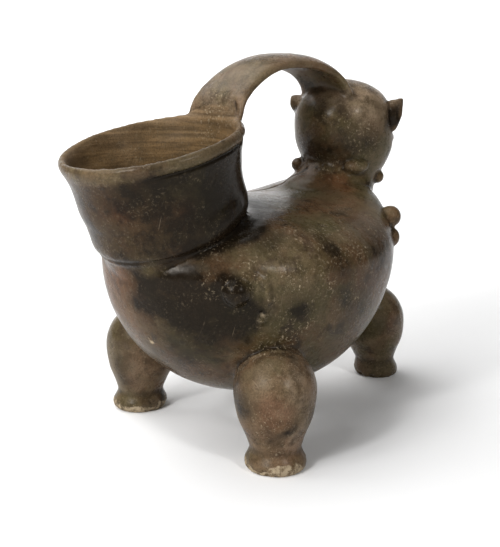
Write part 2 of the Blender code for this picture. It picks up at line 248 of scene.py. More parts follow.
def ball(middle, half_sizes, turn=0.0):
    """An egg, turned about the vertical."""
    maker = bmesh.new()
    place = Matrix.Translation(middle) @ Matrix.Rotation(radians(turn), 4, "Z")
    shape = Matrix.Diagonal((*half_sizes, 1.0))
    bmesh.ops.create_uvsphere(maker, u_segments=BALL_SIDES, v_segments=BALL_RINGS, radius=1.0,
                              matrix=place @ shape)
    return maker


def back_rise(y):
    """How far the top of the body stands over its widest line."""
    forward = min(max((-y - SHOULDER_START) / (SHOULDER_END - SHOULDER_START), 0.0), 1.0)
    shoulder = (SHOULDER_RISE - BACK_RISE) * forward ** SHOULDER_POWER
    return BACK_RISE + shoulder + RUMP_RISE * ramp(y, RUMP_START, SEAT_Y)


def body_point(unit, inset):
    """A point of the unit ball, taken to the body's surface or to a surface inside it."""
    length = BODY_FRONT if unit.y < 0 else BODY_REAR
    y = unit.y * (length - inset)
    rise = back_rise(y) if unit.z > 0 else BELLY_DEPTH
    x = unit.x * (BODY_HALF_WIDTH - inset)
    z = BODY_HEIGHT + unit.z * (rise - inset)
    if unit.y < 0:
        spread = (x * x + (z - CHEST_HEIGHT) ** 2) / CHEST_SPREAD ** 2
        y -= CHEST_BULGE * sin(-unit.y * pi / 2) ** 4 * exp(-spread)
    return Vector((x, y, z))


def body_form(inset, sides, rings):
    maker = bmesh.new()
    turn = Matrix.Rotation(radians(90), 4, "X")
    bmesh.ops.create_uvsphere(maker, u_segments=sides, v_segments=rings, radius=1.0, matrix=turn)
    for vert in maker.verts:
        vert.co = body_point(vert.co.normalized(), inset)
    return maker


def body_place(azimuth, rise, sink):
    """A place on the flank: the azimuth turns from the animal's nose towards its left."""
    level = rise / (BELLY_DEPTH if rise < 0 else SHOULDER_RISE * 0.8)
    ring = max(1 - level * level, 0.0) ** 0.5
    unit = Vector((sin(radians(azimuth)) * ring, -cos(radians(azimuth)) * ring, level)).normalized()
    return body_point(unit, sink)


def cup_station(depth, radius):
    """A ring of the cup, at a depth below the rim on the line to its seat."""
    share = depth / CUP_DEPTH
    middle = Vector((0, RIM_Y, RIM_HEIGHT)).lerp(Vector((0, SEAT_Y, SEAT_HEIGHT)), share)
    tilt = RIM_TILT + (SEAT_TILT - RIM_TILT) * min(max(share, 0.0), 1.0)
    return middle, leaning(tilt), radius, radius


def cup_loft(marks, rings):
    """A form along the cup's axis. A mark is a share of the depth, a radius and the walls added to it."""
    profile = [(CUP_DEPTH * share, radius + CUP_WALL * walls) for share, radius, walls in marks]
    return loft([cup_station(depth, radius) for depth, radius in spline(profile, rings)], CUP_SIDES)


def cup_form():
    """The rounded lip, the hollow flank and the roll that overhangs the body."""
    marks = [(0.0, RIM_RADIUS, -0.52), (0.025, RIM_RADIUS, -0.15), (0.063, RIM_RADIUS, 0.0),
             (0.115, RIM_RADIUS, -0.13), (0.178, RIM_RADIUS, -0.43), (0.314, WAIST_RADIUS, 0.65),
             (0.493, WAIST_RADIUS, 0.17), (0.650, WAIST_RADIUS, 0.0), (0.765, ROLL_RADIUS, -0.09),
             (0.860, ROLL_RADIUS, 0.0), (0.933, ROLL_RADIUS, -0.09), (0.977, ROLL_RADIUS, -0.26),
             (1.010, ROLL_RADIUS, -0.43), (1.036, ROLL_RADIUS, -0.70), (1.300, ROLL_RADIUS, -1.13)]
    return cup_loft(marks, CUP_RINGS)


def bore_form():
    """The room inside the cup, down through its throat."""
    inner = RIM_RADIUS - CUP_WALL
    waist = WAIST_RADIUS - CUP_WALL
    marks = [(-0.008, inner, 0.43), (0.0, inner, 0.35), (0.029, inner, 0.09), (0.073, inner, -0.09),
             (0.178, inner, -0.39), (0.314, waist, 0.61), (0.493, waist, 0.17), (0.650, waist, 0.0),
             (1.0, waist, -0.48), (1.0 + THROAT_DEPTH / CUP_DEPTH, waist, -1.52)]
    return cup_loft(marks, BORE_RINGS)


def leg_form(foot, foot_radius, waist_radius, lean):
    """A foot with a rim, a waist and a bulb with a dome, leaning in towards the body."""
    swell = BULB_RADIUS - waist_radius
    marks = [(0.0, 0.92 * foot_radius), (0.13 * FOOT_HEIGHT, 0.987 * foot_radius),
             (0.36 * FOOT_HEIGHT, 0.98 * foot_radius), (0.7 * FOOT_HEIGHT, 1.015 * waist_radius),
             (FOOT_HEIGHT, waist_radius), (0.45 * BULB_HEIGHT, waist_radius + 0.26 * swell),
             (0.68 * BULB_HEIGHT, waist_radius + 0.76 * swell), (BULB_HEIGHT, BULB_RADIUS)]
    for angle in (24, 44, 62, 78):
        marks.append((BULB_HEIGHT + BULB_DOME * sin(radians(angle)), BULB_RADIUS * cos(radians(angle))))
    sole = Vector((foot[0], foot[1], 0))
    inward = sole.normalized() * (-lean / BULB_HEIGHT)
    return loft([(sole + Vector((0, 0, height)) + inward * height, Vector((0, 0, 1)), radius, radius)
                 for height, radius in spline(marks, LEG_RINGS)], LEG_SIDES)


def neck_marks():
    """Behind and above the collar and the radius, in collar radii, and the lean."""
    marks = [(0.93, -1.48, 1.195, 34.0), (0.487, -0.774, 1.204, 28.0), (0.142, -0.283, 1.062, 18.0),
             (0.0, 0.0, 1.0, NECK_LEAN)]
    return [(NECK_Y + NECK_RADIUS * behind, NECK_HEIGHT + NECK_RADIUS * above, NECK_RADIUS * width, lean)
            for behind, above, width, lean in marks]


def round_rings(marks, inset=0.0):
    return [(Vector((0, y, z)), leaning(-lean), radius - inset, radius - inset)
            for y, z, radius, lean in marks]


def head_form():
    """The neck, the collar and the round head, up to its crown."""
    shares = [(-0.86, 0.84, 10.0), (-0.62, 0.92, 7.0), (-0.33, 0.98, 3.0), (0.0, 1.0, 0.0),
              (0.26, 0.985, 0.0), (0.50, 0.91, 0.0), (0.72, 0.745, 0.0), (0.88, 0.50, 0.0),
              (0.97, 0.24, 0.0), (1.0, 0.06, 0.0)]
    marks = neck_marks() + [(HEAD_Y, HEAD_HEIGHT + HEAD_RISE * rise, HEAD_RADIUS * radius, lean)
                            for rise, radius, lean in shares]
    return loft(round_rings(spline(marks, HEAD_RINGS)), HEAD_SIDES)


def head_axes():
    """The turned head's own right and front."""
    turn = radians(HEAD_TURN)
    return Vector((-cos(turn), -sin(turn), 0)), Vector((sin(turn), -cos(turn), 0))


def head_place(right, forward, up):
    to_right, to_front = head_axes()
    return Vector((0, HEAD_Y, HEAD_HEIGHT + up)) + to_right * right + to_front * forward


def ear_form(side, reach, half_width, half_height, rise, tip):
    """A flat leaf: its upper outer corner is drawn out to a tip and its lower one is drawn in."""
    middle = head_place(side * (reach - half_width), 0.0, rise)
    maker = ball(middle, (half_width, EAR_THICKNESS, half_height), HEAD_TURN)
    to_right = head_axes()[0] * side
    sharpness = tip / LONG_TIP
    for vert in maker.verts:
        outward = (vert.co - middle).dot(to_right) / half_width
        upward = (vert.co.z - middle.z) / half_height
        corner = max(2 * max(outward, 0.0) * upward, 0.0) ** 3
        lower = max(outward, 0.0) * max(-upward, 0.0)
        vert.co += to_right * (tip * corner - half_width * 0.85 * lower * sharpness)
        vert.co.z += tip * 1.3 * corner - half_height * 0.28 * max(upward, 0.0) * (1 - corner) * sharpness
    return maker


def ear_hollow():
    """The scoop of the right ear, open to the outside and a little to the rear."""
    reach, half_width, half_height, rise, _ = RIGHT_EAR
    middle = head_place(reach - half_width * 0.34, -EAR_THICKNESS * 0.85, rise + half_height * 0.12)
    return ball(middle, (half_width * 0.26, EAR_THICKNESS * 0.75, half_height * 0.50), HEAD_TURN)


def face_forms():
    """The muzzle, the ears and the eyes."""
    muzzle = head_place(0, MUZZLE_REACH - MUZZLE_RADIUS, -EYE_DROP)
    forms = [ball(muzzle, (MUZZLE_RADIUS, MUZZLE_RADIUS, MUZZLE_HALF_HEIGHT), HEAD_TURN),
             ear_form(1, *RIGHT_EAR), ear_form(-1, *LEFT_EAR)]
    for side in (1, -1):
        out = HEAD_RADIUS - EYE_RADIUS * 0.5
        aside = side * out * cos(radians(EYE_ANGLE))
        forms.append(ball(head_place(aside, out * sin(radians(EYE_ANGLE)), -EYE_DROP), (EYE_RADIUS,) * 3))
    return forms


def collar_pellets():
    forms = []
    for index in range(PELLET_COUNT):
        if index == LOST_PELLET:
            continue
        turn, size, lift = 0, PELLET_SIZE, 0.0
        if index == NEAR_PELLET:
            turn, size, lift = NEAR_PELLET_TURN, NEAR_PELLET_SIZE, NEAR_PELLET_LIFT
        azimuth = PELLET_START + index * 360 / PELLET_COUNT + turn
        out = Vector((sin(radians(azimuth)), -cos(radians(azimuth)), 0)) * (NECK_RADIUS + PELLET_STAND)
        out.z = out.y * sin(radians(NECK_LEAN))
        out.z += lift
        forms.append(ball(Vector((0, NECK_Y, NECK_HEIGHT)) + out, size, azimuth))
    return forms


def flank_knobs():
    forms = []
    for azimuth, rise, sink, radius, half_height in FLANK_KNOBS:
        for side in (-1, 1):
            forms.append(ball(body_place(side * azimuth, rise, sink), (radius, radius, half_height)))
    return forms


def strap_form():
    """The strap handle. A mark is along the body, height, added width, share of thickness and crown."""
    marks = [(0.0316, 0.1640, 0.0012, 0.40, -0.0042), (0.0310, 0.1700, 0.0022, 0.60, -0.0042),
             (0.0288, 0.1752, 0.0032, 0.85, -0.0034), (0.0266, 0.1808, 0.0026, 1, -0.0020),
             (0.0222, 0.1862, 0.0016, 1, -0.0004), (0.0157, 0.1909, 0.0008, 1, 0.0012),
             (0.0080, 0.1952, 0.0003, 1, 0.0022), (0.0000, 0.1981, 0, 1, 0.0028),
             (-0.0080, 0.1995, 0, 1, STRAP_CROWN), (-0.0180, 0.1999, 0, 1, STRAP_CROWN),
             (-0.0300, 0.1992, 0, 1, STRAP_CROWN), (-0.0410, 0.1963, 0, 1, STRAP_CROWN),
             (-0.0490, 0.1922, 0.0004, 1, 0.0026), (-0.0545, 0.1868, 0.0010, 1, 0.0018),
             (-0.0575, 0.1800, 0.0016, 1, 0.0008), (-0.0590, 0.1725, 0.0005, 1, 0.0)]
    samples = spline([(y, z, STRAP_HALF_WIDTH + wider, STRAP_THICKNESS / 2 * share, crown)
                      for y, z, wider, share, crown in marks], STRAP_RINGS)
    stations = []
    for index, (y, z, half_width, half_thickness, crown) in enumerate(samples):
        before = samples[max(index - 1, 0)]
        after = samples[min(index + 1, STRAP_RINGS)]
        facing = Vector((0, after[0] - before[0], after[1] - before[1])).normalized()
        stations.append((Vector((0, y, z)), facing, half_width, half_thickness, crown))
    return loft(stations, STRAP_SIDES, STRAP_SQUARENESS)


def placed(name, data):
    item = bpy.data.objects.new(name, data)
    bpy.context.scene.collection.objects.link(item)
    return item


def clay_object(name, maker):
    mesh = bpy.data.meshes.new(name)
    bmesh.ops.recalc_face_normals(maker, faces=maker.faces)
    maker.to_mesh(mesh)
    maker.free()
    return placed(name, mesh)


def worked(item, makers, operation):
    """Joins forms to an object, or cuts them from it, and removes them."""
    tools = []
    for index, maker in enumerate(makers):
        tool = clay_object("%s_tool_%d" % (item.name, index), maker)
        step = item.modifiers.new("work_%d" % index, "BOOLEAN")
        step.operation = operation
        step.solver = "MANIFOLD"
        step.object = tool
        tools.append(tool)
    settled(item)
    for tool in tools:
        bpy.data.objects.remove(tool, do_unlink=True)
    return item


def settled(item):
    """Replaces an object's mesh by what its modifiers make of it."""
    bpy.context.view_layer.update()
    shaped = bpy.data.meshes.new_from_object(item.evaluated_get(bpy.context.evaluated_depsgraph_get()))
    item.modifiers.clear()
    item.data = shaped
    return item


def vessel_forms():
    """The vessel as its potter joined it, hollow, before its seams are smoothed."""
    vessel = clay_object("clay_vessel", body_form(0.0, BODY_SIDES, BODY_RINGS))
    legs = [leg_form((0.0, FRONT_FOOT_Y), FRONT_FOOT_RADIUS, FRONT_WAIST_RADIUS, FRONT_LEAN)]
    for x in (-HIND_FOOT_X, HIND_FOOT_X):
        legs.append(leg_form((x, HIND_FOOT_Y), HIND_FOOT_RADIUS, HIND_WAIST_RADIUS, HIND_LEAN))
    small_forms = face_forms() + collar_pellets() + flank_knobs()
    worked(vessel, [cup_form(), head_form()] + legs + small_forms, "UNION")
    inside = clay_object("inside", body_form(BODY_WALL, INSIDE_SIDES, INSIDE_RINGS))
    neck = loft(round_rings(spline(neck_marks(), NECK_RINGS), HEAD_WALL), NECK_SIDES)
    skull = ball(head_place(0, 0, -SKULL_DROP), (SKULL_RADIUS, SKULL_RADIUS, SKULL_RISE), HEAD_TURN)
    worked(inside, [bore_form(), neck, skull], "UNION")
    hollow = bmesh.new()
    hollow.from_mesh(inside.data)
    bpy.data.objects.remove(inside, do_unlink=True)
    worked(vessel, [hollow, ear_hollow()], "DIFFERENCE")
    return worked(vessel, [strap_form()], "UNION")


class Skin:
    """The points of the vessel's mesh, with their neighbours and the way out of the clay."""

    def __init__(self, mesh):
        self.mesh = mesh
        self.points = np.empty(len(mesh.vertices) * 3)
        mesh.vertices.foreach_get("co", self.points)
        self.points = self.points.reshape(-1, 3)
        pairs = np.empty(len(mesh.edges) * 2, int)
        mesh.edges.foreach_get("vertices", pairs)
        self.starts, self.ends = pairs.reshape(-1, 2).T
        size = len(self.points)
        self.counts = np.bincount(self.starts, minlength=size) + np.bincount(self.ends, minlength=size)
        self.find_outward()

    def around(self, values):
        """The mean of each point's neighbours."""
        size = len(self.points)
        total = np.bincount(self.starts, values[self.ends], size)
        total += np.bincount(self.ends, values[self.starts], size)
        return total / self.counts

    def pull(self):
        """How far each point's neighbours lie from it."""
        return np.stack([self.around(self.points[:, axis]) for axis in range(3)], 1) - self.points

    def hollowness(self):
        """How far each point lies in from its neighbours."""
        return (self.pull() * self.outward).sum(1)

    def store(self):
        self.mesh.vertices.foreach_set("co", self.points.ravel())
        self.mesh.update()

    def find_outward(self):
        self.store()
        outward = np.empty(len(self.points) * 3)
        self.mesh.vertex_normals.foreach_get("vector", outward)
        self.outward = outward.reshape(-1, 3)


LUMP_SEED = 11
LUMP_CELLS = 32
LUMP_SHIFT = (7.3, 3.1, 5.7)
LUMPS = np.random.default_rng(LUMP_SEED).uniform(-1, 1, (LUMP_CELLS,) * 3)


def lumps(points, size, shift):
    """Smooth random values from -1 to 1, with lumps of one size."""
    place = points / size + shift * np.array(LUMP_SHIFT)
    cell = np.floor(place).astype(int)
    part = place - cell
    part = part * part * (3 - 2 * part)
    value = np.zeros(len(points))
    for corner in np.ndindex(2, 2, 2):
        weight = np.prod(np.where(corner, part, 1 - part), 1)
        x, y, z = ((cell + corner) % LUMP_CELLS).T
        value += weight * LUMPS[x, y, z]
    return value


def near(points, place, reach):
    """1 at a place given in millimetres, falling to 0 round it."""
    away = (points * 1000 - np.array(place)) / reach
    return np.exp(-(away * away).sum(1))


def near_line(points, knots, reach):
    """1 on a line through places in millimetres, falling to 0 beside it."""
    best = np.full(len(points), 1e9)
    spots = points * 1000
    for start, end in zip(knots, knots[1:]):
        start = np.array(start)
        run = np.array(end) - start
        share = np.clip(((spots - start) @ run) / (run @ run), 0, 1)
        best = np.minimum(best, ((spots - start - share[:, None] * run) ** 2).sum(1))
    return np.exp(-best / reach ** 2)


def spotted(points, spots):
    """The sum of marks by place."""
    return sum(weight * near(points, place, reach) for *place, reach, weight in spots)


def cup_view(points, outward):
    """A point as the cup has it: depth below the rim, distance from the axis, way round it and facing in.

    The first two are in millimetres, the third in degrees and the last from -1 to 1.
    """
    top = np.array((0, RIM_Y - MIDDLE_Y, RIM_HEIGHT))
    run = np.array((0, SEAT_Y - MIDDLE_Y, SEAT_HEIGHT)) - top
    length = np.linalg.norm(run)
    down = run / length
    away = points - top
    depth = away @ down
    side = away - depth[:, None] * down
    radius = np.linalg.norm(side, axis=1)
    facing = -(outward * side).sum(1) / np.maximum(radius, 1e-6)
    around = np.degrees(np.arctan2(side[:, 0], side[:, 1]))
    return depth * 1000, radius * 1000, around, facing


# Places on the vessel, in millimetres from the middle of its box on the ground
FEET = ((-58.6, 43.3), (58.6, 43.3), (0.0, -105.8))
HAUNCH = (-54.5, 68.0, 95.0)
KNOBS = [(side * x, y, z) for x, y, z in (HAUNCH, (-48.0, -54.0, 118.0), (-50.0, -56.0, 105.0))
         for side in (1, -1)]
HAUNCH_PIT = (-58.4, 52.9, 83.1)
RUMP_CHIP = (-8.3, 83.4, 64)
CUP_BLUSH = (-20, 102, 146)

# Lines on the vessel: creases, scars and bands of soot
SPINE = ((18, 4, 129), (18.6, -8, 128.4), (18.2, -20, 128.4), (17, -29.5, 129.6), (12.4, -35, 133.0),
         (6.6, -37.6, 136.9), (3.5, -40.6, 139.9))
HEAD_CREASE = ((-26, -52, 167), (-25.6, -55.4, 168.5), (-26.8, -64, 170), (-27.6, -73, 170.5))
HAUNCH_SCAR = ((-58.4, 56.3, 101.3), (-60.2, 53.4, 99.1), (-60.7, 51.9, 95.4), (-60.7, 51.1, 89.3),
               (-59.2, 51.0, 82.4), (-57.0, 53.0, 78.2))
BULB_CREASE = ((-45.3, 55.7, 52.5), (-53.8, 51.3, 60.0), (-60.1, 42.2, 62.1), (-65.5, 31.9, 57.4))
STRAP_CRACK = ((-14.5, 30.5, 182.5), (-16.4, 32.0, 179.8), (-20.7, 36.5, 173.8))
NECK_SOOT = ((-26, -54, 158), (-10, -43, 152), (4, -40, 152))
RUMP_SOOT = ((-16, 93, 94), (-33, 83, 91), (-44, 75, 89), (-53, 64, 84))

# Marks laid by place: x, y, z and reach in millimetres, and strength
SOOT_SPOTS = (
    (-33, 83, 88, 14, 0.9), (-46, 16, 119, 12, 0.35), (-50, -20, 122, 12, 0.35), (-8, 10, 129, 16, 0.5),
    (-72, 52, 23, 4, 0.7), (-66, -10, 76, 18, 0.4), (-26, 74, 66, 20, 0.4), (40, 60, 80, 22, 0.8),
    (66, -10, 100, 20, 0.7), (20, -80, 90, 18, 0.5), (52, 50, 112, 16, 0.4), (-30, 101, 150, 16, 0.35),
    (-44, 60, 132, 18, 0.7), (-41, 78, 128, 10, 0.5), (*HAUNCH, 10, 0.8), (-52, 44, 118, 9, 0.4),
    (-60, 36, 88, 12, 0.3), (-40, 66, 76, 14, 0.3), (-20, -60, 150, 14, 0.1), (-66, 34, 83, 6, 0.75),
    (-66, 13, 111, 9, 0.65), (-72, 8, 99, 9, 0.4), (-71, 6, 84, 8, 0.4), (-28, -84, 172, 8, 1.0),
    (-25, -81, 166, 6, 0.7), (-70, -20, 100, 20, 0.3), (-58, -52, 92, 18, 0.3), (-64, 30, 80, 16, 0.3),
    (-46.7, 59.7, 44.9, 8, 0.55), (-52, 62, 36, 7, 0.45), (-67.2, 56.9, 23.6, 7, 0.35),
    (-66, 34, 24, 7, 0.3), (51.5, 61.2, 45.8, 12, 0.3), (50.5, 59.2, 24.4, 9, 0.5), (-56, 56, 81, 8, 0.5),
    (-24, -66, 158, 9, 0.3))
WARM_SPOTS = (
    (14, 92, 93, 15, 0.6), (20, 88, 80, 15, 0.5), (-4, 96, 100, 10, 0.5), (-20.2, 103.6, 134.2, 6, 1.0),
    (-36.2, 86.3, 136.6, 5, 1.0), (-28, 100, 126, 16, 0.5), (-17, -39, 132, 8, 0.9),
    (-26, -43, 130, 8, 0.8), (-21, -97, 43, 7, 1.0), (-70, 56, 36, 8, 1.0), (-28, -64, 166, 9, 0.5),
    (-70, 50, 32, 10, 0.6), (58, 43, 40, 12, 0.6), (10, -92, 110, 18, 0.4), (-58, 43, 12, 12, 0.4),
    (-62, 20, 112, 12, 0.35))
WORN_SPOTS = (
    (-63, 62, 46, 11, 0.3), (-75, 44, 44, 9, 0.3), (-30, -62, 176, 13, 0.5), (-66, 44, 20, 12, 0.3),
    (-48, -30, 116, 20, 0.3), (-57, 40, 108, 18, 0.3), (-20, -72, 178, 12, 0.4))
CRUST_SPOTS = (
    (-60, 54, 99, 9, 0.45), (-59, 51, 107, 9, 0.4), (-60, 53, 88, 9, 0.4), (-45, 70, 100, 14, 0.4),
    (-61, 36, 98, 18, 0.45), (-58, 10, 112, 20, 0.3), (-60, -25, 110, 18, 0.3), (-62, 40, 72, 16, 0.5),
    (-4, -43, 143, 5, 0.6), (-26, -46, 134, 4, 0.9), (-30, 104, 136, 8, 0.1), (-21.4, -56.9, 142.4, 5, 0.9),
    (-66, 2, 92, 20, 0.55), (-60, 36, 84, 14, 0.45), (-70, 0, 84, 16, 0.4), (-50, 61, 40, 9, 0.5),
    (-60.2, 61.2, 28, 7, 0.4), (-58.8, 50.1, 108.7, 5, 0.8), (-59.1, 53.7, 104.4, 4, 0.8),
    (-72, 58, 30, 10, 0.3), (7, 34, 180, 10, 0.4), (-5, 35, 174, 10, 0.4), (-26, -50, 168, 10, 0.4),
    (-30, -60, 156, 10, 0.4), (-72, 54, 12, 9, 0.4))

# How thickly the earth sticks to each sole
SOLE_CRUST = (0.9, 1.0, 0.3)

# Where clay meets clay: place, reach, and how often the seam is smoothed there
SEAMS = (((0, 36, 172), 17, 70), ((0, -52, 178), 20, 40), ((0, -52, 122), 26, 60), ((-50, 43, 62), 22, 9),
         ((50, 43, 62), 22, 9), ((0, -88, 62), 22, 16))
PLAIN_SEAM = 14.0
CRISP_SEAM = 3
SEAM_FACTOR = 1.6


def seam_steps(points):
    """How many times each place is smoothed where clay meets clay."""
    steps = np.full(len(points), PLAIN_SEAM)
    for place, reach, count in SEAMS:
        steps = np.maximum(steps, count * near(points, place, reach) * SEAM_FACTOR)
    collar = np.abs(points[:, 2] - 0.1375 - (points[:, 1] + 0.0639) * 0.2) < 0.008
    steps = np.where(collar & (points[:, 1] < -0.03), np.minimum(steps, 2), steps)
    for place in KNOBS:
        steps = np.where(near(points, place, 11) > 0.37, CRISP_SEAM, steps)
    face = (points[:, 2] > 0.150) & (points[:, 1] < -0.066)
    steps = np.where(face, CRISP_SEAM, steps)
    depth, radius, _, _ = cup_view(points, points)
    groove = (np.abs(depth - 49) < 6) & (radius > 36) & (radius < 46)
    return np.where(groove, CRISP_SEAM, steps)


# Rounds of smoothing, each of which pulls the points in and spreads them out again by nearly as much
PULL_IN = 0.5
SPREAD_OUT = 0.52
SKIN_ROUNDS = 10
LIP_ROUNDS = 26
LIP_SOFTENING = 9
LAST_ROUNDS = 2
LOOK_EVERY = 6
LEAST_HOLLOW = 0.00001


def smooth_seams(skin):
    """Rounds off the whole skin and most of all its lip, then fills the seams as a wet thumb does."""
    depth, radius, _, _ = cup_view(skin.points, skin.points)
    lip = ((np.abs(depth) < 9) & (radius > 36) & (radius < 56)).astype(float)
    for share in [np.ones_like(lip)] * SKIN_ROUNDS + [lip] * LIP_ROUNDS:
        skin.points += PULL_IN * share[:, None] * skin.pull()
        skin.points -= SPREAD_OUT * share[:, None] * skin.pull()
    for _ in range(LIP_SOFTENING):
        skin.points += PULL_IN * lip[:, None] * skin.pull()
    steps = seam_steps(skin.points)
    for step in range(int(steps.max())):
        if step % LOOK_EVERY == 0:
            skin.find_outward()
        hollow = skin.hollowness()
        moving = ((hollow > LEAST_HOLLOW) & (steps > step)).astype(float)
        skin.points += PULL_IN * (hollow * moving)[:, None] * skin.outward
    for _ in range(LAST_ROUNDS):
        skin.points += PULL_IN * skin.pull()
        skin.points -= SPREAD_OUT * skin.pull()
    skin.find_outward()


def bulge(values, middle, width):
    """1 where a value is at its middle, falling to 0 over a width."""
    return np.exp(-((values - middle) / width) ** 2)


def lip_shade(around):
    """1 on the side of the lip that is turned to the left and the rear."""
    return ramp(around, -175, -150) * (1 - ramp(around, -62, -40))


def relief(points, outward):
    """How far the surface stands out or in: the potter's hand, wear, scars and chips, in mm."""
    depth, radius, around, facing = cup_view(points, outward)
    height = points[:, 2] * 1000
    rise = 0.26 * lumps(points, 0.020, 1) + 0.12 * lumps(points, 0.008, 2)
    rise += 0.035 * lumps(points, 0.0032, 12)
    bore = (facing > 0.2) & (radius < 46) & (depth > -4) & (depth < 52)
    rings = np.sin(depth * 2.4 + 1.6 * lumps(points, 0.02, 3))
    rise += 0.10 * bore * rings * (0.5 + 0.5 * lumps(points, 0.012, 4))
    shell = (facing < -0.2) & (radius > 40) & (depth > 2) & (depth < 14)
    wall = (facing < 0.2) & (radius > 36) & (radius < 54) & (depth > 2) & (depth < 47)
    leftward = 0.65 + 0.35 * np.cos(np.radians(around - 43))
    rise += 3.1 * wall * leftward * bulge(depth, 27.5, 11.5)
    groove = bulge(depth - 7.4 - 0.6 * lumps(points, 0.015, 5), 0, 1.0)
    rise -= 1.1 * shell * lip_shade(around) * groove
    rise -= 0.8 * near_line(points, SPINE, 1.0)
    rise -= 0.35 * near_line(points, HEAD_CREASE, 1.5)
    rise += 0.6 * near(points, (-40.7, 50.5, 166.2), 2.2)
    rise += 2.2 * near(points, (-19.4, -88.5, 152.0), 12)
    seat = (facing < 0.2) & (radius > 36) & (radius < 50)
    rise -= 0.7 * seat * bulge(depth, 49.5, 1.1)
    uneven = 0.5 + 0.5 * lumps(points, 0.0022, 13)
    rise += 1.9 * near_line(points, HAUNCH_SCAR, 2.3) * uneven - 0.5 * near_line(points, HAUNCH_SCAR, 4.2)
    edge = 1.7 * near_line(points, BULB_CREASE, 1.5) * (0.6 + 0.4 * uneven)
    rise += edge - 0.7 * near_line(points, BULB_CREASE, 3.4)
    rise -= 1.3 * near(points, HAUNCH_PIT, 1.7) + 0.5 * near_line(points, STRAP_CRACK, 0.9)
    rise -= 0.5 * near(points, (-49.5, -58.0, 114.0), 2.2)
    scar = near(points, (-4.0, -42.6, 142.6), 4.2)
    rise += scar * (0.35 * lumps(points, 0.0016, 6) - 0.15)
    rise -= 0.8 * near(points, (-25.0, -45.5, 133.0), 2.6) * (0.7 + 0.5 * lumps(points, 0.002, 7))
    side = np.hypot(outward[:, 0], outward[:, 1])
    bite = ramp(lumps(points, 0.0045, 8) + 0.4 * lumps(points, 0.0018, 9), 0.15, 0.75)
    worn = 1.2 * bite + 0.3 * (1 + lumps(points, 0.0020, 10))
    for x, y in FEET:
        foot = (np.hypot(points[:, 0] * 1000 - x, points[:, 1] * 1000 - y) < 19) & (height < 16)
        rise += 0.8 * foot * side * bulge(height, 4.5, 3.0)
        rise -= 0.35 * foot * side * bulge(height, 11.0, 2.0)
        rise -= foot * side * bulge(height, 0, 5.0) * worn
    return rise


def shape_surface(skin):
    """Moves the points by the relief and keeps them within the solids' box."""
    rise = relief(skin.points, skin.outward)
    skin.points += (rise / 1000)[:, None] * skin.outward
    low, high = (np.array(corner) for corner in cad_box)
    skin.points = np.clip(skin.points, low + EDGE_ROOM, high - EDGE_ROOM)
    skin.store()


def hidden_share(skin):
    """1 on the inside of the body, the neck and the head, which no one sees."""
    depth, _, _, _ = cup_view(skin.points, skin.outward)
    height = skin.points[:, 2]
    middle = np.array((0, 0.004, BODY_HEIGHT))
    toward = ((middle - skin.points) * skin.outward).sum(1) > 0
    reach = (skin.points - middle) / (np.array((BODY_HALF_WIDTH, BODY_REAR, BELLY_DEPTH)) - 0.002)
    body = (height > 0.02) & toward & ((reach ** 2).sum(1) < 1.0) & (depth > 56)
    aside = skin.points - np.array((0, NECK_Y - MIDDLE_Y, 0.0))
    neck = (np.hypot(aside[:, 0], aside[:, 1]) < 0.0215) & (height > 0.10) & (height < 0.1685)
    inward = (aside * skin.outward)[:, :2].sum(1) < 0.002
    return (body | (neck & inward)).astype(float)


def triangles(mesh):
    return sum(len(face.vertices) - 2 for face in mesh.polygons)


def thin_out(item, share_name, wanted):
    """Takes triangles away, in a group of points only where one is named."""
    step = item.modifiers.new("thin", "DECIMATE")
    step.use_collapse_triangulate = True
    step.ratio = wanted / triangles(item.data)
    if share_name:
        step.vertex_group = share_name
        step.vertex_group_factor = 10.0
    return settled(item)


def clear_slivers(mesh):
    """Closes faces too thin to show, and drops the points that they leave loose."""
    form = bmesh.new()
    form.from_mesh(mesh)
    bmesh.ops.dissolve_degenerate(form, dist=SLIVER, edges=form.edges)
    loose = [point for point in form.verts if not point.link_faces]
    bmesh.ops.delete(form, geom=loose, context="VERTS")
    form.to_mesh(mesh)
    form.free()


def build_skin():
    vessel = vessel_forms()
    vessel.data.transform(Matrix.Translation((0, -MIDDLE_Y, 0)))
    step = vessel.modifiers.new("clay grid", "REMESH")
    step.mode = "VOXEL"
    step.voxel_size = CLAY_GRID
    settled(vessel)
    skin = Skin(vessel.data)
    smooth_seams(skin)
    shape_surface(skin)
    skin.find_outward()
    hidden = np.flatnonzero(hidden_share(skin) > 0.5)
    group = vessel.vertex_groups.new(name="hidden")
    group.add([int(index) for index in hidden], 1.0, "REPLACE")
    total = triangles(vessel.data)
    shown = total * (1 - len(hidden) / len(skin.points))
    thin_out(vessel, "hidden", shown + HIDDEN_TRIANGLES)
    vessel.vertex_groups.clear()
    if triangles(vessel.data) > SKIN_TRIANGLES:
        thin_out(vessel, "", SKIN_TRIANGLES)
    clear_slivers(vessel.data)
    vessel.data.shade_smooth()
    return vessel


